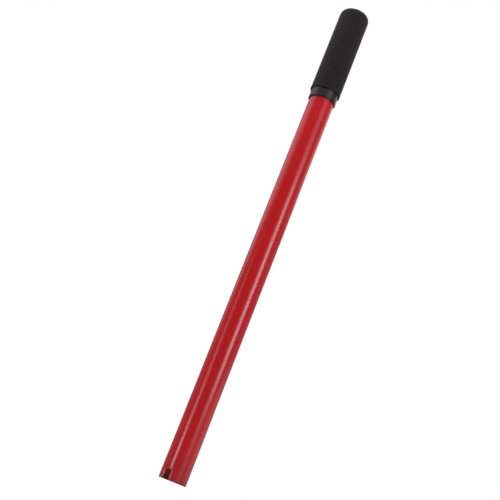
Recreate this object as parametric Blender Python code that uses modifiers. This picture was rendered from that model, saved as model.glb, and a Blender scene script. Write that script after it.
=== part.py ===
"""Hand-held post driver for round rods: an open steel tube with a solid striker weight in its top end.

The driver stands on its open rim, with its origin at the centre of that rim. +Z runs up the tube to the
grip, and the notch in the rim faces -Y. Lengths are in metres.
"""
import math

import bmesh
import bpy
from mathutils import Matrix, Vector

# Driving dimensions.
OVERALL_LENGTH = 0.635
TUBE_DIAMETER = 0.03175
TUBE_WALL = 0.0032
TUBE_LENGTH = 0.625
RIM_CHAMFER = 0.0005
NOTCH_WIDTH = 0.0079
NOTCH_HEIGHT = 0.0111
STRIKER_LENGTH = 0.150
STRIKER_CHAMFER = 0.001
PLUG_RADIUS = 0.004
PLUG_HEIGHT = 0.570
WELD_WIDTH = 0.0048
WELD_RISE = 0.0012
SLEEVE_RADIUS = 0.01695
SLEEVE_BOTTOM = 0.4971
SLEEVE_CAP = 0.0012
COLLAR_RADIUS = 0.0176
COLLAR_TOP = 0.5136
GRIP_RADIUS_LOW = 0.01925
GRIP_RADIUS_TOP = 0.01915
GRIP_BOTTOM = 0.5096
GRIP_LIP_ROUND = 0.0012
DOME_HEIGHT = 0.0177
DOME_RADIAL_POWER = 2.75
DOME_AXIAL_POWER = 6.0
GAP = 0.0003

# Worked out from them.
TUBE_RADIUS = TUBE_DIAMETER / 2
BORE_RADIUS = TUBE_RADIUS - TUBE_WALL
STRIKER_RADIUS = BORE_RADIUS - GAP
STRIKER_FACE = TUBE_LENGTH - STRIKER_LENGTH
WELD_BOTTOM = TUBE_LENGTH + GAP
SLEEVE_CEILING = WELD_BOTTOM + WELD_RISE + GAP
SLEEVE_TOP = SLEEVE_CEILING + SLEEVE_CAP
SLEEVE_BORE = TUBE_RADIUS + GAP
GRIP_CEILING = SLEEVE_TOP + GAP
GRIP_BORE = SLEEVE_RADIUS + GAP
COLLAR_SHOULDER = COLLAR_TOP - (COLLAR_RADIUS - SLEEVE_RADIUS)
DOME_BASE = OVERALL_LENGTH - DOME_HEIGHT

# Fineness of the round shapes.
SEGMENTS = 64
PLUG_SEGMENTS = 24
DOME_STEPS = 9
ARC_STEPS = 3
SHARP_ANGLE = math.radians(35)

SIDES = {"front": -90, "right": 0, "back": 90, "left": 180}


def make_collection(name):
    """Add a collection to the scene."""
    collection = bpy.data.collections.new(name)
    bpy.context.scene.collection.children.link(collection)
    return collection


def make_material(name, color, roughness, metallic):
    """A Principled material with one colour, roughness and metallic value."""
    material = bpy.data.materials.new(name)
    material.use_nodes = True
    shader = material.node_tree.nodes["Principled BSDF"]
    shader.inputs["Base Color"].default_value = (*color, 1.0)
    shader.inputs["Roughness"].default_value = roughness
    shader.inputs["Metallic"].default_value = metallic
    material.diffuse_color = (*color, 1.0)
    return material


def arc(center_radius, center_height, radius, start, end, steps=ARC_STEPS):
    """Points of a circular arc in the half plane of a turned profile; angles in degrees from +X."""
    points = []
    for step in range(steps + 1):
        angle = math.radians(start + (end - start) * step / steps)
        points.append((center_radius + radius * math.cos(angle), center_height + radius * math.sin(angle)))
    return points


def dome(radius, base, height, steps=DOME_STEPS):
    """Points of the grip's end, from its crown down to its side: a superellipse quarter."""
    points = []
    for step in range(steps + 1):
        angle = math.pi / 2 * (1 - step / steps)
        across = radius * math.cos(angle) ** (2 / DOME_RADIAL_POWER) if step else 0.0
        points.append((across, base + height * math.sin(angle) ** (2 / DOME_AXIAL_POWER)))
    return points


def turned(name, profile, material, collection, closed=False):
    """Turn a profile about Z. It runs down the outer side; a closed one is a loop clear of the axis."""
    edges = [(index, index + 1) for index in range(len(profile) - 1)]
    if closed:
        edges.append((len(profile) - 1, 0))
    mesh = bpy.data.meshes.new(name)
    mesh.from_pydata([(radius, 0.0, height) for radius, height in profile], edges, [])
    mesh.materials.append(material)
    piece = bpy.data.objects.new(name, mesh)
    collection.objects.link(piece)
    screw = piece.modifiers.new("Turn", "SCREW")
    screw.axis = "Z"
    screw.angle = 2 * math.pi
    screw.steps = SEGMENTS
    screw.render_steps = SEGMENTS
    screw.use_merge_vertices = True
    screw.merge_threshold = 0.00001
    screw.use_smooth_shade = True
    return piece


def make_cutter(name, mesh, collection):
    """An object that only cuts: shown as wire and left out of renders."""
    cutter = bpy.data.objects.new(name, mesh)
    cutter.display_type = "WIRE"
    cutter.hide_render = True
    collection.objects.link(cutter)
    return cutter


def box_mesh(name, low, high):
    """A box between two corners."""
    mesh = bpy.data.meshes.new(name)
    shape = bmesh.new()
    bmesh.ops.create_cube(shape, size=1.0)
    size = Vector(high) - Vector(low)
    bmesh.ops.scale(shape, vec=size, verts=shape.verts)
    bmesh.ops.translate(shape, vec=Vector(low) + size / 2, verts=shape.verts)
    shape.to_mesh(mesh)
    shape.free()
    return mesh


def rod_mesh(name, radius, start, end, segments):
    """A rod along +X, between two distances from the Z axis."""
    mesh = bpy.data.meshes.new(name)
    shape = bmesh.new()
    along_x = Matrix.Rotation(math.pi / 2, 4, "Y")
    place = Matrix.Translation(((start + end) / 2, 0, 0)) @ along_x
    bmesh.ops.create_cone(
        shape, cap_ends=True, segments=segments, radius1=radius, radius2=radius, depth=end - start, matrix=place
    )
    shape.to_mesh(mesh)
    shape.free()
    return mesh


def cut(piece, cutter):
    """Take the cutter's shape out of a piece."""
    boolean = piece.modifiers.new("Cut " + cutter.name, "BOOLEAN")
    boolean.operation = "DIFFERENCE"
    boolean.solver = "EXACT"
    boolean.object = cutter


def make_drive_tube(parts, cutters):
    """The tube: chamfered at both ends, notched at its rim, with four holes for the plug welds."""
    paint = make_material("red_gloss_coat", (0.50, 0.010, 0.022), 0.28, 0.0)
    middle = (TUBE_RADIUS + BORE_RADIUS) / 2
    edge = TUBE_WALL / 2 - RIM_CHAMFER
    profile = [
        (middle + edge, TUBE_LENGTH),
        (TUBE_RADIUS, TUBE_LENGTH - RIM_CHAMFER),
        (TUBE_RADIUS, RIM_CHAMFER),
        (middle + edge, 0.0),
        (middle - edge, 0.0),
        (BORE_RADIUS, RIM_CHAMFER),
        (BORE_RADIUS, TUBE_LENGTH - RIM_CHAMFER),
        (middle - edge, TUBE_LENGTH),
    ]
    tube = turned("drive_tube", profile, paint, parts, closed=True)
    reach = TUBE_WALL
    low = (-NOTCH_WIDTH / 2, -TUBE_RADIUS - reach, -reach)
    high = (NOTCH_WIDTH / 2, -BORE_RADIUS + reach, NOTCH_HEIGHT)
    cut(tube, make_cutter("notch_cutter", box_mesh("notch_cutter", low, high), cutters))
    hole = rod_mesh("plug_hole", PLUG_RADIUS, BORE_RADIUS - reach, TUBE_RADIUS + reach, PLUG_SEGMENTS)
    for side, angle in SIDES.items():
        cutter = make_cutter(f"plug_hole_{side}", hole, cutters)
        cutter.location = (0, 0, PLUG_HEIGHT)
        cutter.rotation_euler = (0, 0, math.radians(angle))
        cut(tube, cutter)
    return tube


def make_striker_weight(parts):
    """The solid bar in the tube's top, whose flat lower face strikes the post."""
    steel = make_material("bare_steel", (0.32, 0.31, 0.30), 0.38, 1.0)
    inner = STRIKER_RADIUS - STRIKER_CHAMFER
    profile = [
        (0.0, TUBE_LENGTH),
        (inner, TUBE_LENGTH),
        (STRIKER_RADIUS, TUBE_LENGTH - STRIKER_CHAMFER),
        (STRIKER_RADIUS, STRIKER_FACE + STRIKER_CHAMFER),
        (inner, STRIKER_FACE),
        (0.0, STRIKER_FACE),
    ]
    return turned("striker_weight", profile, steel, parts)


def make_plug_welds(parts):
    """Four plugs of weld metal, each in its own hole, just under the tube's surface."""
    weld = make_material("plug_weld_steel", (0.25, 0.24, 0.23), 0.55, 1.0)
    radius = PLUG_RADIUS - GAP
    inner_end = STRIKER_RADIUS + GAP
    outer_end = math.sqrt(TUBE_RADIUS**2 - radius**2)
    mesh = rod_mesh("plug_weld", radius, inner_end, outer_end, PLUG_SEGMENTS)
    mesh.materials.append(weld)
    mesh.shade_smooth()
    mesh.set_sharp_from_angle(angle=SHARP_ANGLE)
    for side, angle in SIDES.items():
        plug = bpy.data.objects.new(f"plug_weld_{side}", mesh)
        plug.location = (0, 0, PLUG_HEIGHT)
        plug.rotation_euler = (0, 0, math.radians(angle))
        parts.objects.link(plug)


def make_top_weld(parts):
    """The ring of weld over the joint between the tube's top edge and the weight."""
    weld = make_material("top_weld_steel", (0.25, 0.24, 0.23), 0.55, 1.0)
    half = WELD_WIDTH / 2
    crown_radius = (half**2 + WELD_RISE**2) / (2 * WELD_RISE)
    center = WELD_BOTTOM + WELD_RISE - crown_radius
    spread = math.degrees(math.asin(half / crown_radius))
    profile = arc(BORE_RADIUS, center, crown_radius, 90 + spread, 90 - spread, steps=6)
    return turned("top_weld", profile, weld, parts, closed=True)


def make_grip_sleeve(parts):
    """The thin vinyl cap over the tube's top; its thicker mouth stays bare below the grip."""
    vinyl = make_material("black_vinyl", (0.022, 0.020, 0.020), 0.22, 0.0)
    corner = SLEEVE_CAP
    profile = [(0.0, SLEEVE_TOP)]
    profile += arc(SLEEVE_RADIUS - corner, SLEEVE_TOP - corner, corner, 90, 0)
    profile += [(SLEEVE_RADIUS, COLLAR_TOP), (COLLAR_RADIUS, COLLAR_SHOULDER)]
    profile += [(COLLAR_RADIUS, SLEEVE_BOTTOM), (SLEEVE_BORE, SLEEVE_BOTTOM)]
    profile += [(SLEEVE_BORE, SLEEVE_CEILING), (0.0, SLEEVE_CEILING)]
    return turned("grip_sleeve", profile, vinyl, parts)


def make_foam_grip(parts):
    """The closed foam grip: a domed end, a long side and a rounded lower lip."""
    foam = make_material("black_foam", (0.030, 0.028, 0.027), 0.85, 0.0)
    lip = GRIP_LIP_ROUND
    profile = dome(GRIP_RADIUS_TOP, DOME_BASE, DOME_HEIGHT)
    profile += arc(GRIP_RADIUS_LOW - lip, GRIP_BOTTOM + lip, lip, 0, -90)
    profile += [(COLLAR_RADIUS + GAP, GRIP_BOTTOM), (COLLAR_RADIUS + GAP, COLLAR_SHOULDER + GAP)]
    profile += [(GRIP_BORE, COLLAR_TOP + GAP), (GRIP_BORE, GRIP_CEILING), (0.0, GRIP_CEILING)]
    return turned("foam_grip", profile, foam, parts)


def main():
    for item in list(bpy.data.objects):
        bpy.data.objects.remove(item, do_unlink=True)
    parts = make_collection("post_driver")
    cutters = make_collection("post_driver_cutters")
    make_drive_tube(parts, cutters)
    make_striker_weight(parts)
    make_plug_welds(parts)
    make_top_weld(parts)
    make_grip_sleeve(parts)
    make_foam_grip(parts)


main()
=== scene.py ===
"""Looks of the hand-held post driver: red coated tube, vinyl sleeve and foam grip, in a plain pale studio.

All lengths are in metres, in the CAD's frame: origin at the centre of the open rim, +Z up to the grip,
rim notch towards -Y.
"""
import math

import bmesh
import bpy
import numpy as np
from mathutils import Matrix, Vector, noise


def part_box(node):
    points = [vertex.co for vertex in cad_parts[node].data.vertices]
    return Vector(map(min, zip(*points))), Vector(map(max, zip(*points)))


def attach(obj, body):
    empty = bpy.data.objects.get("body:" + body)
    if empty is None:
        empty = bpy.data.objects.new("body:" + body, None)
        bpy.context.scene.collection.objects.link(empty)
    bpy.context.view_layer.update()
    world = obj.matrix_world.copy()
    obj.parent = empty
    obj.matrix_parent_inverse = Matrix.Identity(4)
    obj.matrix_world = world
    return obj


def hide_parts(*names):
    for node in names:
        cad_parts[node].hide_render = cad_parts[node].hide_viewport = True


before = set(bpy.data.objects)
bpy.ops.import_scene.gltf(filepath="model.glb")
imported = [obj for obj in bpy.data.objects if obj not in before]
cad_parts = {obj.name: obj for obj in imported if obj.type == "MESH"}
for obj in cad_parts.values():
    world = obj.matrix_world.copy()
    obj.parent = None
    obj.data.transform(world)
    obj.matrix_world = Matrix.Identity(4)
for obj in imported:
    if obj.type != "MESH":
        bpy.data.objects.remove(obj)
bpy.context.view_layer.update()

BODY = "root"

# Sizes that the CAD solids give.
_, TUBE_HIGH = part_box("drive_tube")
_, STRIKER_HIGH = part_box("striker_weight")
_, WELD_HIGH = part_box("top_weld")
SLEEVE_LOW, SLEEVE_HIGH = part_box("grip_sleeve")
GRIP_LOW, GRIP_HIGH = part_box("foam_grip")
PLUG_LOW, PLUG_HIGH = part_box("plug_weld_right")

# Sizes that repeat the CAD's own driving dimensions.
GAP = 0.0003
NOTCH_WIDTH = 0.0079
NOTCH_HEIGHT = 0.0111
SLEEVE_RADIUS = 0.01695
COLLAR_TOP = 0.5136
DOME_HEIGHT = 0.0177
DOME_RADIAL_POWER = 2.75
DOME_AXIAL_POWER = 6.0

# What the visible surfaces add to the CAD's radii. They were chosen to bring the outline nearer to the
# photo's, and aren't measured thicknesses.
TUBE_ALLOWANCE = 0.00028
FOAM_ALLOWANCE = 0.00028
COLLAR_ALLOWANCE = 0.0003

# Radii and heights worked out from all of these. The collar is the sleeve's thicker mouth.
TUBE_RADIUS = TUBE_HIGH.x + TUBE_ALLOWANCE
TUBE_LENGTH = TUBE_HIGH.z
BORE_RADIUS = STRIKER_HIGH.x + GAP
COLLAR_RADIUS = SLEEVE_HIGH.x
COLLAR_SHOULDER = COLLAR_TOP - (COLLAR_RADIUS - SLEEVE_RADIUS)
GRIP_RADIUS = GRIP_HIGH.x + FOAM_ALLOWANCE

# Half the notch's width as an angle, on the tube's outside and in the bore.
NOTCH_EDGE = math.asin(NOTCH_WIDTH / 2 / TUBE_RADIUS)
INNER_NOTCH_EDGE = math.asin(NOTCH_WIDTH / 2 / BORE_RADIUS)

# How round the tube's edges are: a radius, and its share at the rims and at the notch's corners.
ROUNDING = 0.0008
RIM_ROUNDNESS = 0.55
CORNER_ROUNDNESS = 0.8
SHARP_ANGLE = math.radians(50)

# How finely the shapes are divided. The tube's columns don't count those across the notch and beside it.
BESIDE_NOTCH = 0.0024
NOTCH_COLUMNS = 6
TUBE_COLUMNS = 84
TUBE_ROWS = 96
SLEEVE_SEGMENTS = 192
GRIP_SEGMENTS = 264
GRIP_SPACING = 0.00046
DOME_STEPS = 200
HOLE_SEGMENTS = 32

# The camera, which looks up the tube from just above the floor. Lens and sensor are in millimetres.
CAMERA_AZIMUTH = math.radians(33.0)
CAMERA_DISTANCE = 0.9447
CAMERA_HEIGHT = 0.0015
CAMERA_LENS = 59.24
CAMERA_SENSOR = 36.0
CAMERA_LOOKS_UP = math.radians(16.45)
CAMERA_TURNED_LEFT = math.radians(0.9)
CAMERA_ROLL = math.radians(21.75)

# The studio.
FLOOR_SIZE = 8.0
FLOOR_DROP = 0.0002
BORE_FILL_POWER = 0.0055
BORE_FILL_HEIGHT = 0.034
WHITE = (1.0, 1.0, 1.0, 1.0)


# --- Material helpers -------------------------------------------------------------------------------------


class Shader:
    """A Principled material under construction, with short calls for the nodes that these materials use."""

    def __init__(self, name, **values):
        self.material = bpy.data.materials.new(name)
        self.material.use_nodes = True
        self.nodes = self.material.node_tree.nodes
        self.links = self.material.node_tree.links
        self.surface = self.nodes["Principled BSDF"]
        for socket, value in values.items():
            self.surface.inputs[socket.replace("_", " ")].default_value = value
        self.place = self.nodes.new("ShaderNodeTexCoord").outputs["Object"]

    def link(self, source, target):
        self.links.new(source, target)

    def stretched(self, scale):
        """The object's own coordinates, scaled along each axis."""
        mapping = self.nodes.new("ShaderNodeMapping")
        mapping.inputs["Scale"].default_value = scale
        self.link(self.place, mapping.inputs["Vector"])
        return mapping.outputs["Vector"]

    def noise(self, scale, detail=3.0, roughness=0.5, vector=None):
        node = self.nodes.new("ShaderNodeTexNoise")
        node.inputs["Scale"].default_value = scale
        node.inputs["Detail"].default_value = detail
        node.inputs["Roughness"].default_value = roughness
        self.link(vector or self.place, node.inputs["Vector"])
        return node.outputs["Fac"]

    def cells(self, scale):
        """Distance to the nearest of many scattered points."""
        node = self.nodes.new("ShaderNodeTexVoronoi")
        node.inputs["Scale"].default_value = scale
        self.link(self.place, node.inputs["Vector"])
        return node.outputs["Distance"]

    def ramp(self, fac, low, high, start=0.0, end=1.0):
        """Map a value from start..end to low..high, held at both ends."""
        node = self.nodes.new("ShaderNodeMapRange")
        node.inputs["From Min"].default_value = start
        node.inputs["From Max"].default_value = end
        node.inputs["To Min"].default_value = low
        node.inputs["To Max"].default_value = high
        self.link(fac, node.inputs["Value"])
        return node.outputs["Result"]

    def math(self, operation, first, second):
        node = self.nodes.new("ShaderNodeMath")
        node.operation = operation
        for socket, value in zip(node.inputs, (first, second)):
            if isinstance(value, (int, float)):
                socket.default_value = value
            else:
                self.link(value, socket)
        return node.outputs["Value"]

    def mix(self, fac, first, second):
        """Mix two colours, each given as numbers or as an output."""
        node = self.nodes.new("ShaderNodeMix")
        node.data_type = "RGBA"
        self.link(fac, node.inputs["Factor"])
        for socket, value in ((node.inputs[6], first), (node.inputs[7], second)):
            if isinstance(value, tuple):
                socket.default_value = (*value, 1.0)
            else:
                self.link(value, socket)
        return node.outputs[2]

    def height(self):
        """Height above the rim, in metres."""
        node = self.nodes.new("ShaderNodeSeparateXYZ")
        self.link(self.place, node.inputs["Vector"])
        return node.outputs["Z"]

    def bump(self, value, distance, strength, below=None):
        node = self.nodes.new("ShaderNodeBump")
        node.inputs["Strength"].default_value = strength
        node.inputs["Distance"].default_value = distance
        self.link(value, node.inputs["Height"])
        if below is not None:
            self.link(below, node.inputs["Normal"])
        return node.outputs["Normal"]

    def finish(self, color=None, roughness=None, normal=None):
        wanted = {"Base Color": color, "Roughness": roughness, "Normal": normal}
        for socket, source in wanted.items():
            if source is not None:
                self.link(source, self.surface.inputs[socket])
        return self.material


# --- Materials --------------------------------------------------------------------------------------------


def notch_edge_highlight(shader):
    """How near a point is to the notch's outer edges, where a pale painted highlight goes; 0 to 1."""
    parts = shader.nodes.new("ShaderNodeSeparateXYZ")
    shader.link(shader.place, parts.inputs["Vector"])
    across, depth = parts.outputs["X"], parts.outputs["Y"]
    aside = shader.math("ABSOLUTE", across, 0.0)
    line = NOTCH_WIDTH / 2 + 0.0005
    from_line = shader.math("ABSOLUTE", shader.math("SUBTRACT", aside, line), 0.0)
    beside = shader.ramp(from_line, 1.0, 0.0, 0.0003, 0.0010)
    below = shader.ramp(shader.height(), 1.0, 0.0, NOTCH_HEIGHT - 0.0005, NOTCH_HEIGHT + 0.0006)
    outside = shader.ramp(depth, 1.0, 0.0, -0.0147, -0.0143)
    # Noise that makes the painted highlight uneven along the edges.
    highlight_breakup = shader.ramp(shader.noise(500.0, detail=3.0), 0.70, 1.00, 0.35, 0.60)
    near = shader.math("MULTIPLY", beside, below)
    return shader.math("MULTIPLY", near, shader.math("MULTIPLY", outside, highlight_breakup))


def red_coat():
    """Gloss red powder coat with faint orange peel, a painted highlight round the notch's edges, painted shade
    darkening it towards the rim, and a thin dark band at the rim that is part worn paint, part painted shade.
    """
    shader = Shader("red_coat", IOR=1.5)
    drift = shader.noise(35.0, detail=2.0)
    coat = shader.mix(drift, (0.42, 0.0080, 0.0125), (0.47, 0.0095, 0.0145))
    # Painted highlight: a pale pink along the notch's outer edges, mixed over the coat.
    red = shader.mix(notch_edge_highlight(shader), coat, (0.62, 0.190, 0.200))
    chips = shader.noise(900.0, detail=4.0, roughness=0.65)
    above_rim = shader.math("SUBTRACT", shader.height(), shader.math("MULTIPLY", chips, 0.0012))
    # A thin dark band at the very rim: part worn paint, part painted shade on the rounded rim that faces down.
    rim_wear_and_shade = shader.ramp(above_rim, 1.0, 0.0, 0.00025, 0.00070)
    # Painted shade: the red darkens towards the rim, up to 30 mm above it.
    bottom_shade = shader.ramp(above_rim, 0.30, 0.0, 0.004, 0.030)
    shaded = shader.mix(bottom_shade, red, (0.150, 0.0060, 0.0075))
    color = shader.mix(rim_wear_and_shade, shaded, (0.110, 0.024, 0.022))
    haze = shader.ramp(shader.noise(30.0, detail=2.0), 0.195, 0.225, 0.35, 0.65)
    roughness = shader.math("MAXIMUM", haze, shader.math("MULTIPLY", rim_wear_and_shade, 0.55))
    peel = shader.bump(shader.noise(420.0, detail=1.0), 0.000012, 0.6)
    waves = shader.bump(shader.noise(55.0, detail=1.0), 0.000015, 0.3, below=peel)
    return shader.finish(color=color, roughness=roughness, normal=waves)


def bore_steel():
    """The tube's inside: red overspray near the rim, thinning into dark mill scale and rust higher up."""
    shader = Shader("bore_steel")
    drawn = shader.stretched((900.0, 900.0, 25.0))
    streaks = shader.noise(1.0, detail=3.0, vector=drawn)
    scale = shader.mix(streaks, (0.030, 0.024, 0.021), (0.075, 0.060, 0.052))
    rust = shader.ramp(shader.noise(240.0, detail=5.0, roughness=0.7), 0.0, 0.8, 0.50, 0.72)
    bare = shader.mix(rust, scale, (0.085, 0.036, 0.020))
    ragged = shader.math("MULTIPLY", shader.noise(260.0, detail=4.0), 0.03)
    reach = shader.ramp(shader.math("SUBTRACT", shader.height(), ragged), 1.0, 0.0, 0.01, 0.06)
    dusted = shader.mix(streaks, (0.32, 0.080, 0.070), (0.40, 0.110, 0.096))
    color = shader.mix(reach, bare, dusted)
    roughness = shader.ramp(streaks, 0.55, 0.80)
    return shader.finish(color=color, roughness=roughness, normal=shader.bump(streaks, 0.00005, 0.5))


def turned_steel():
    """Bare turned bar: fine concentric tool marks and light tarnish."""
    shader = Shader("turned_steel", Metallic=1.0)
    wave = shader.nodes.new("ShaderNodeTexWave")
    wave.wave_type = "RINGS"
    wave.rings_direction = "Z"
    wave.inputs["Scale"].default_value = 900.0
    wave.inputs["Distortion"].default_value = 1.2
    shader.link(shader.place, wave.inputs["Vector"])
    marks = wave.outputs["Fac"]
    tarnish = shader.noise(160.0, detail=4.0)
    color = shader.mix(tarnish, (0.34, 0.33, 0.32), (0.22, 0.20, 0.18))
    roughness = shader.ramp(tarnish, 0.28, 0.48)
    return shader.finish(color=color, roughness=roughness, normal=shader.bump(marks, 0.00002, 0.5))


def weld_metal():
    """Weld bead: rippled and heat-tinted."""
    shader = Shader("weld_metal", Metallic=1.0)
    ripples = shader.noise(700.0, detail=3.0)
    tint = shader.noise(180.0, detail=2.0)
    color = shader.mix(tint, (0.27, 0.25, 0.23), (0.16, 0.12, 0.13))
    roughness = shader.ramp(ripples, 0.40, 0.70)
    return shader.finish(color=color, roughness=roughness, normal=shader.bump(ripples, 0.0001, 0.8))


def black_vinyl():
    """Smooth dipped vinyl: fairly glossy, with soft waves and a slightly uneven gloss."""
    shader = Shader("black_vinyl", IOR=1.5, Specular_IOR_Level=0.46)
    cloud = shader.noise(160.0, detail=2.0)
    color = shader.mix(cloud, (0.0132, 0.0082, 0.0082), (0.0162, 0.0098, 0.0098))
    roughness = shader.ramp(shader.noise(220.0, detail=3.0), 0.26, 0.32, 0.35, 0.70)
    fine = shader.bump(shader.noise(1500.0, detail=2.0), 0.000006, 0.4)
    soft = shader.bump(shader.noise(160.0, detail=1.0), 0.00002, 0.5, below=fine)
    return shader.finish(color=color, roughness=roughness, normal=soft)


def black_foam():
    """Foam with its skin ground off: matte charcoal, full of fine open cells whose hollows are darkened with
    painted shade, and with a painted highlight at its lower lip.
    """
    shader = Shader("black_foam", IOR=1.4, Specular_IOR_Level=0.2, Sheen_Weight=0.10, Sheen_Roughness=0.32)
    cells = shader.cells(2600.0)
    # Painted shade: the open cells' hollows are coloured darker than the foam around them.
    pores = shader.ramp(cells, 0.0, 1.0, 0.10, 0.55)
    mottle = shader.ramp(shader.noise(420.0, detail=5.0, roughness=0.65), 0.0, 1.0, 0.30, 0.70)
    body = shader.mix(mottle, (0.0076, 0.0058, 0.0056), (0.0216, 0.0166, 0.0160))
    skin = shader.mix(pores, (0.0040, 0.0032, 0.0032), body)
    # Painted highlight: a paler band round the lower lip, where its rounding would catch the light.
    lip = shader.ramp(shader.height(), 0.8, 0.0, GRIP_LOW.z + 0.0006, GRIP_LOW.z + 0.0018)
    color = shader.mix(lip, skin, (0.034, 0.029, 0.028))
    roughness = shader.ramp(mottle, 0.80, 0.95)
    grain = shader.bump(shader.noise(1800.0, detail=4.0, roughness=0.7), 0.00012, 0.6)
    open_cells = shader.bump(pores, 0.00012, 0.7, below=grain)
    return shader.finish(color=color, roughness=roughness, normal=open_cells)


def pale_floor():
    """Plain paper, paler to the camera than to the part, fading into the white surroundings far away."""
    shader = Shader("pale_floor", Roughness=0.9, Emission_Color=WHITE)
    paper = shader.mix(shader.noise(6.0, detail=2.0), (0.77, 0.77, 0.77), (0.79, 0.79, 0.79))
    seen = shader.nodes.new("ShaderNodeLightPath").outputs["Is Camera Ray"]
    away = shader.nodes.new("ShaderNodeVectorMath")
    away.operation = "LENGTH"
    shader.link(shader.place, away.inputs[0])
    fade = shader.ramp(away.outputs["Value"], 0.0, 1.0, 0.5, 1.5)
    shader.link(shader.math("MULTIPLY", seen, fade), shader.surface.inputs["Emission Strength"])
    return shader.finish(color=shader.mix(seen, (0.22, 0.22, 0.22), paper))


# --- Shapes -----------------------------------------------------------------------------------------------


def add_piece(name, mesh, node, slot, *materials):
    """Add a piece to the scene in place of a CAD node, with its materials."""
    piece = bpy.data.objects.new(name, mesh)
    bpy.context.scene.collection.objects.link(piece)
    for material in materials:
        mesh.materials.append(material)
    mesh.shade_smooth()
    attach(piece, BODY)
    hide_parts(node)
    return piece


def arc(center_radius, center_height, radius, start, end, steps):
    """Points of a circular arc in the half plane of a turned profile; angles in degrees from +X."""
    points = []
    for step in range(steps + 1):
        angle = math.radians(start + (end - start) * step / steps)
        points.append((center_radius + radius * math.cos(angle), center_height + radius * math.sin(angle)))
    return points


def run(start, end, spacing):
    """Points on a straight stretch of a profile, without its last one."""
    steps = max(1, round(math.dist(start, end) / spacing))
    return [
        tuple(a + (b - a) * step / steps for a, b in zip(start, end))
        for step in range(steps)
    ]


def turned_mesh(name, profile, segments):
    """A closed turned body: the profile runs from the axis, down the outer side, and back to the axis."""
    shape = bmesh.new()
    rings = []
    for radius, height in profile:
        if radius < 1e-7:
            rings.append([shape.verts.new((0.0, 0.0, height))] * segments)
            continue
        ring = []
        for segment in range(segments):
            angle = 2 * math.pi * segment / segments
            ring.append(shape.verts.new((radius * math.cos(angle), radius * math.sin(angle), height)))
        rings.append(ring)
    for upper, lower in zip(rings, rings[1:]):
        for here in range(segments):
            after = (here + 1) % segments
            corners = [upper[here], lower[here], lower[after], upper[after]]
            shape.faces.new(list(dict.fromkeys(corners)))
    mesh = bpy.data.meshes.new(name)
    shape.to_mesh(mesh)
    shape.free()
    return mesh


def tube_angles():
    """Angles of the tube's grid lines from the notch's centre: across it, then evenly round the rest."""
    half = NOTCH_COLUMNS // 2
    inside = [NOTCH_EDGE * step / half for step in range(1 - half, half)]
    start = NOTCH_EDGE + BESIDE_NOTCH / TUBE_RADIUS
    span = 2 * math.pi - 2 * start
    outside = [start + span * step / TUBE_COLUMNS for step in range(TUBE_COLUMNS + 1)]
    return [-NOTCH_EDGE, *inside, NOTCH_EDGE, *outside]


def bore_angle(angle):
    """The notch's cheeks are parallel, so the bore's grid lines spread a little beside it."""
    ease = math.radians(40)
    turned = angle if angle <= math.pi else angle - 2 * math.pi
    size = abs(turned)
    if size <= NOTCH_EDGE:
        spread = size * INNER_NOTCH_EDGE / NOTCH_EDGE
    elif size < ease:
        spread = INNER_NOTCH_EDGE + (size - NOTCH_EDGE) * (ease - INNER_NOTCH_EDGE) / (ease - NOTCH_EDGE)
    else:
        spread = size
    return math.copysign(spread, turned)


def tube_mesh():
    """The tube's wall as a grid, open at the notch, with the bore's faces in the second material."""
    angles = tube_angles()
    columns = len(angles)
    # Rows that follow the notch, then even ones up to just under the top.
    low_rows = [0.0, 0.0026, 0.0056, 0.0084, NOTCH_HEIGHT, NOTCH_HEIGHT + BESIDE_NOTCH, NOTCH_HEIGHT + 0.006]
    high_rows = np.linspace(0.022, TUBE_LENGTH - 0.003, TUBE_ROWS).tolist()
    heights = low_rows + high_rows + [TUBE_LENGTH]
    notch_row = low_rows.index(NOTCH_HEIGHT)
    top = len(heights) - 1
    shape = bmesh.new()

    def rings(radius, turns):
        return [
            [shape.verts.new((radius * math.sin(turn), -radius * math.cos(turn), height)) for turn in turns]
            for height in heights
        ]

    outer = rings(TUBE_RADIUS, angles)
    inner = rings(BORE_RADIUS, [bore_angle(angle) for angle in angles])
    for row in range(top):
        for column in range(columns):
            if row < notch_row and column < NOTCH_COLUMNS:
                continue
            after = (column + 1) % columns
            o, i = outer, inner
            shape.faces.new((o[row][column], o[row][after], o[row + 1][after], o[row + 1][column]))
            bore = shape.faces.new((i[row][column], i[row + 1][column], i[row + 1][after], i[row][after]))
            bore.material_index = 1
    for column in range(columns):
        after = (column + 1) % columns
        shape.faces.new((outer[top][column], outer[top][after], inner[top][after], inner[top][column]))
        low = notch_row if column < NOTCH_COLUMNS else 0
        shape.faces.new((outer[low][column], inner[low][column], inner[low][after], outer[low][after]))
    left, right = 0, NOTCH_COLUMNS
    for row in range(notch_row):
        above = row + 1
        shape.faces.new((outer[row][left], outer[above][left], inner[above][left], inner[row][left]))
        shape.faces.new((outer[row][right], inner[row][right], inner[above][right], outer[above][right]))
    loose = [vert for vert in shape.verts if not vert.link_faces]
    bmesh.ops.delete(shape, geom=loose, context="VERTS")
    bmesh.ops.recalc_face_normals(shape, faces=shape.faces)
    mesh = bpy.data.meshes.new("tube_blank")
    shape.to_mesh(mesh)
    shape.free()
    return mesh


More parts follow.
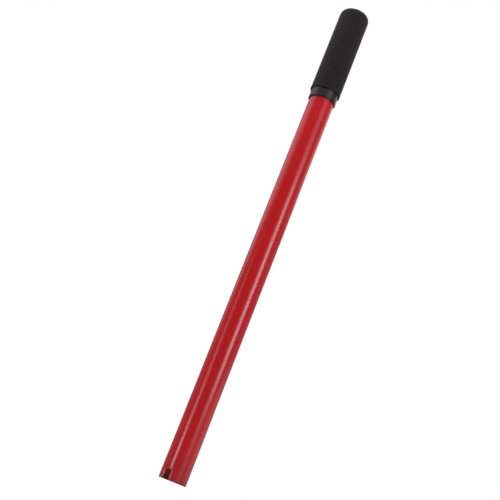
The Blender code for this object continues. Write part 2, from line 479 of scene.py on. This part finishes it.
def rod(name, radius, reach, turn):
    """A rod across the tube at the plug welds' height, turned so that its corners miss the grid lines."""
    shape = bmesh.new()
    height = Matrix.Translation((0, 0, (PLUG_LOW.z + PLUG_HIGH.z) / 2))
    lie = Matrix.Rotation(turn, 4, "Z") @ Matrix.Rotation(math.pi / 2, 4, "Y")
    half_step = Matrix.Rotation(math.pi / HOLE_SEGMENTS, 4, "Z")
    bmesh.ops.create_cone(
        shape,
        cap_ends=True,
        segments=HOLE_SEGMENTS,
        radius1=radius,
        radius2=radius,
        depth=2 * reach,
        matrix=height @ lie @ half_step,
    )
    mesh = bpy.data.meshes.new(name)
    shape.to_mesh(mesh)
    shape.free()
    cutter = bpy.data.objects.new(name, mesh)
    bpy.context.scene.collection.objects.link(cutter)
    return cutter


def cut_plug_holes(blank):
    """The tube's mesh with its four plug-weld holes: one rod cuts each pair that faces across the tube."""
    tube = bpy.data.objects.new("tube_blank", blank)
    bpy.context.scene.collection.objects.link(tube)
    radius = (PLUG_HIGH.y - PLUG_LOW.y) / 2 + GAP
    reach = TUBE_RADIUS + 0.004
    rods = [rod(f"plug_rod_{index}", radius, reach, index * math.pi / 2) for index in range(2)]
    for cutter in rods:
        boolean = tube.modifiers.new(cutter.name, "BOOLEAN")
        boolean.operation = "DIFFERENCE"
        boolean.solver = "EXACT"
        boolean.object = cutter
    bpy.context.view_layer.update()
    mesh = bpy.data.meshes.new_from_object(tube.evaluated_get(bpy.context.evaluated_depsgraph_get()))
    mesh.name = "red_tube"
    for item in (tube, *rods):
        data = item.data
        bpy.data.objects.remove(item, do_unlink=True)
        bpy.data.meshes.remove(data)
    return mesh


def weigh_edges(mesh):
    """Mark the edges that get rounded: the two rims and the notch."""
    shape = bmesh.new()
    shape.from_mesh(mesh)
    weight = shape.edges.layers.float.new("bevel_weight_edge")
    for line in shape.edges:
        if len(line.link_faces) == 2 and line.calc_face_angle() > SHARP_ANGLE:
            line[weight] = edge_roundness(line)
    shape.to_mesh(mesh)
    shape.free()


def edge_roundness(line):
    """How strongly an edge is rounded: fully at the notch, less at its corners and the rims, else not."""
    a, b = (vert.co for vert in line.verts)
    if 2 * NOTCH_HEIGHT < a.z < TUBE_LENGTH - 0.001:
        return 0.0
    radii = [Vector((p.x, p.y)).length for p in (a, b)]
    if abs(radii[0] - radii[1]) > 0.5 * (TUBE_RADIUS - BORE_RADIUS):
        return CORNER_ROUNDNESS
    if max(a.z, b.z) < 1e-6 or min(a.z, b.z) > TUBE_LENGTH - 1e-6:
        return RIM_ROUNDNESS
    return 1.0


def make_tube():
    blank = tube_mesh()
    blank.materials.append(red_coat())
    blank.materials.append(bore_steel())
    mesh = cut_plug_holes(blank)
    weigh_edges(mesh)
    tube = add_piece("red_tube", mesh, "drive_tube", "red_coat")
    bevel = tube.modifiers.new("Rounded edges", "BEVEL")
    bevel.width = ROUNDING
    bevel.segments = 4
    bevel.limit_method = "WEIGHT"
    bevel.use_clamp_overlap = True


def make_sleeve():
    """The vinyl cap: a thin wall drawn tight on the tube, with a thicker and slightly uneven mouth."""
    mouth_radius = COLLAR_RADIUS + COLLAR_ALLOWANCE
    wall = mouth_radius - TUBE_RADIUS
    lip = wall * 0.36
    low, high = SLEEVE_LOW.z, SLEEVE_HIGH.z
    corner = 0.0012
    profile = [(0.0, high)]
    profile += arc(SLEEVE_RADIUS - corner, high - corner, corner, 90, 0, 6)
    profile += run((SLEEVE_RADIUS, high - corner), (SLEEVE_RADIUS, COLLAR_TOP), 0.004)[1:]
    profile += run((SLEEVE_RADIUS, COLLAR_TOP), (COLLAR_RADIUS, COLLAR_SHOULDER), 0.0003)
    profile += run((COLLAR_RADIUS, COLLAR_SHOULDER), (COLLAR_RADIUS, GRIP_LOW.z + 0.0005), 0.0006)
    profile += run((mouth_radius, GRIP_LOW.z), (mouth_radius, low + lip), 0.0006)
    profile += arc(mouth_radius - lip, low + lip, lip, 0, -90, 8)
    fit = TUBE_RADIUS + 0.00004
    profile += arc(fit + lip * 0.5, low + lip * 0.5, lip * 0.5, -90, -180, 4)
    profile += [(fit, WELD_HIGH.z + GAP), (0.0, WELD_HIGH.z + GAP)]
    mesh = turned_mesh("vinyl_sleeve", profile, SLEEVE_SEGMENTS)
    for vert in mesh.vertices:
        radius = math.hypot(vert.co.x, vert.co.y)
        if radius > COLLAR_RADIUS - 0.6 * wall and vert.co.z < COLLAR_TOP:
            wobble = noise.noise(vert.co * 110.0) * 0.00002
            scale = 1 + wobble / radius
            vert.co.x *= scale
            vert.co.y *= scale
    add_piece("vinyl_sleeve", mesh, "grip_sleeve", "black_vinyl", black_vinyl())


def dome(radius, top):
    """Points of the grip's end, from its crown down to its side: a superellipse quarter."""
    base = top - DOME_HEIGHT
    points = []
    for step in range(DOME_STEPS + 1):
        angle = math.pi / 2 * (1 - step / DOME_STEPS)
        across = radius * math.cos(angle) ** (2 / DOME_RADIAL_POWER) if step else 0.0
        points.append((across, base + DOME_HEIGHT * math.sin(angle) ** (2 / DOME_AXIAL_POWER)))
    return points


def spaced(points, spacing):
    """The same path with points at an even spacing."""
    path = np.array(points)
    along = np.concatenate([[0.0], np.cumsum(np.linalg.norm(np.diff(path, axis=0), axis=1))])
    count = max(2, round(along[-1] / spacing))
    at = np.linspace(0.0, along[-1], count + 1)
    return [(float(np.interp(s, along, path[:, 0])), float(np.interp(s, along, path[:, 1]))) for s in at]


def make_grip():
    """The foam grip: domed end, slightly flared lip, stepped bore, and a skin of shallow dimples."""
    low, high = GRIP_LOW.z, GRIP_HIGH.z
    taper = 0.0001
    lip = 0.0014
    flare = 0.00015
    flare_height = 0.0035
    outline = dome(GRIP_RADIUS - taper, high)
    outline += [(GRIP_RADIUS, low + flare_height), (GRIP_RADIUS + flare, low + lip)]
    outline += arc(GRIP_RADIUS + flare - lip, low + lip, lip, 0, -90, 8)
    profile = spaced(outline, GRIP_SPACING)
    profile[0] = (0.0, high)
    fit = 0.00006
    profile += [(COLLAR_RADIUS + fit, low + 0.00003), (COLLAR_RADIUS + fit, COLLAR_SHOULDER + fit)]
    profile += [(SLEEVE_RADIUS + fit, COLLAR_TOP + fit)]
    profile += [(SLEEVE_RADIUS + fit, SLEEVE_HIGH.z + GAP), (0.0, SLEEVE_HIGH.z + GAP)]
    mesh = turned_mesh("foam_grip_body", profile, GRIP_SEGMENTS)
    bore_limit = COLLAR_RADIUS + fit + 0.0001
    normals = [vert.normal.copy() for vert in mesh.vertices]
    for vert, normal in zip(mesh.vertices, normals):
        radius = math.hypot(vert.co.x, vert.co.y)
        if radius < bore_limit and vert.co.z < high - 0.004:
            continue
        p = vert.co
        dimple = noise.fractal(p * 700.0, 0.9, 2.0, 3) * 0.00005
        swell = noise.noise(p * 60.0) * 0.00010
        vert.co = p + normal * (dimple + swell)
    grip = add_piece("foam_grip_body", mesh, "foam_grip", "black_foam", black_foam())


def dress_inner_parts():
    """The hidden and inner CAD nodes keep their shapes and get their own metals."""
    weld = weld_metal()
    finishes = {"striker_weight": turned_steel(), "top_weld": weld}
    finishes.update({name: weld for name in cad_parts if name.startswith("plug_weld")})
    for name, material in finishes.items():
        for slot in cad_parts[name].material_slots:
            slot.material = material


# --- Studio -----------------------------------------------------------------------------------------------


def around(azimuth, distance, height):
    """A place round the tube; azimuth in degrees from the camera's side, positive to its right."""
    angle = math.radians(azimuth) + CAMERA_AZIMUTH
    return Vector((distance * math.sin(angle), -distance * math.cos(angle), height))


def make_floor():
    bpy.ops.mesh.primitive_plane_add(size=FLOOR_SIZE, location=(0, 0, -FLOOR_DROP))
    floor = bpy.context.object
    floor.name = "studio_floor"
    floor.data.materials.append(pale_floor())


def make_soft_box(name, azimuth, distance, height, size, radiance, aim=0.32, tilt=0.0):
    """An area light of a given brightness that faces the tube, turned in its own plane by tilt."""
    width, tall = size
    data = bpy.data.lights.new(name, "AREA")
    data.shape = "RECTANGLE"
    data.size = width
    data.size_y = tall
    data.energy = radiance * math.pi * width * tall
    light = bpy.data.objects.new(name, data)
    place = around(azimuth, distance, height)
    facing = (Vector((0, 0, aim)) - place).to_track_quat("-Z", "Y").to_matrix().to_4x4()
    light.matrix_world = Matrix.Translation(place) @ facing @ Matrix.Rotation(math.radians(tilt), 4, "Z")
    bpy.context.scene.collection.objects.link(light)


def make_lights():
    """The soft boxes. Numbers in order: azimuth, distance, height, width and height of the box, brightness."""
    make_soft_box("key_box", 43.5, 1.30, 0.57, (0.44, 0.60), 5.2)
    make_soft_box("key_glow", 42, 1.36, 0.80, (0.95, 1.60), 0.9)
    make_soft_box("left_strip", -49, 1.30, 0.13, (0.38, 0.34), 2.7, aim=0.05)
    make_soft_box("left_mid_strip", -56, 1.30, 0.45, (0.34, 0.30), 1.3, aim=0.15)
    make_soft_box("left_low_strip", -48.5, 1.27, 0.04, (0.38, 0.13), 5.6, aim=0.02)
    make_soft_box("left_high_box", -102, 1.70, 1.27, (2.20, 0.90), 0.85, tilt=23)
    make_soft_box("right_low_box", 100, 1.40, 0.15, (1.60, 0.35), 0.5, aim=0.05)
    make_soft_box("left_top_box", -84, 1.10, 2.30, (1.40, 1.40), 5.4)
    make_soft_box("right_high_box", 132, 1.60, 1.45, (1.30, 0.90), 0.65)
    make_soft_box("right_top_box", 96, 0.90, 2.30, (1.30, 1.30), 3.0)
    make_soft_box("back_box", 178, 1.50, 0.75, (1.00, 1.20), 1.2)
    make_soft_box("top_box", -10, 0.45, 1.55, (1.20, 1.20), 3.0)


def make_bore_fill():
    """A tiny lamp in the tube, for the light that would reach the notch if the rim weren't on a floor."""
    data = bpy.data.lights.new("bore_fill", "POINT")
    data.energy = BORE_FILL_POWER
    data.shadow_soft_size = 0.004
    lamp = bpy.data.objects.new("bore_fill", data)
    lamp.location = (0.0, 0.0, BORE_FILL_HEIGHT)
    bpy.context.scene.collection.objects.link(lamp)


def make_world():
    """White for the camera. As a light: dim on the camera's side, brighter behind, bright overhead."""
    world = bpy.data.worlds.new("studio")
    bpy.context.scene.world = world
    world.use_nodes = True
    nodes, links = world.node_tree.nodes, world.node_tree.links
    background = nodes["Background"]
    place = nodes.new("ShaderNodeTexCoord").outputs["Generated"]

    def toward(direction, low, high, start, end):
        """Fade from low to high as the look direction turns towards the given one."""
        dot = nodes.new("ShaderNodeVectorMath")
        dot.operation = "DOT_PRODUCT"
        dot.inputs[1].default_value = direction
        links.new(place, dot.inputs[0])
        fade = nodes.new("ShaderNodeMapRange")
        fade.interpolation_type = "SMOOTHSTEP"
        for socket, value in zip(("From Min", "From Max", "To Min", "To Max"), (start, end, low, high)):
            fade.inputs[socket].default_value = value
        links.new(dot.outputs["Value"], fade.inputs["Value"])
        return fade.outputs["Result"]

    def largest(first, second):
        node = nodes.new("ShaderNodeMath")
        node.operation = "MAXIMUM"
        links.new(first, node.inputs[0])
        links.new(second, node.inputs[1])
        return node.outputs["Value"]

    sides = toward(around(0, 1.0, 0.0), 0.30, 0.07, -0.35, 0.75)
    overhead = toward((0, 0, 1), 0.0, 1.2, 0.62, 0.90)
    seen = nodes.new("ShaderNodeLightPath").outputs["Is Camera Ray"]
    links.new(largest(seen, largest(sides, overhead)), background.inputs["Strength"])
    background.inputs["Color"].default_value = WHITE


def make_camera():
    data = bpy.data.cameras.new("camera")
    data.lens = CAMERA_LENS
    data.sensor_width = CAMERA_SENSOR
    data.clip_start = 0.01
    camera = bpy.data.objects.new("camera", data)
    turn = Matrix.Rotation(CAMERA_AZIMUTH + CAMERA_TURNED_LEFT, 4, "Z")
    tilt = Matrix.Rotation(math.pi / 2 + CAMERA_LOOKS_UP, 4, "X")
    roll = Matrix.Rotation(CAMERA_ROLL, 4, "Z")
    camera.matrix_world = Matrix.Translation(around(0, CAMERA_DISTANCE, CAMERA_HEIGHT)) @ turn @ tilt @ roll
    bpy.context.scene.collection.objects.link(camera)
    bpy.context.scene.camera = camera


make_camera()
make_floor()
make_lights()
make_bore_fill()
make_world()
bpy.context.scene.view_settings.view_transform = "Standard"

make_tube()
make_sleeve()
make_grip()
dress_inner_parts()

bpy.context.view_layer.update()
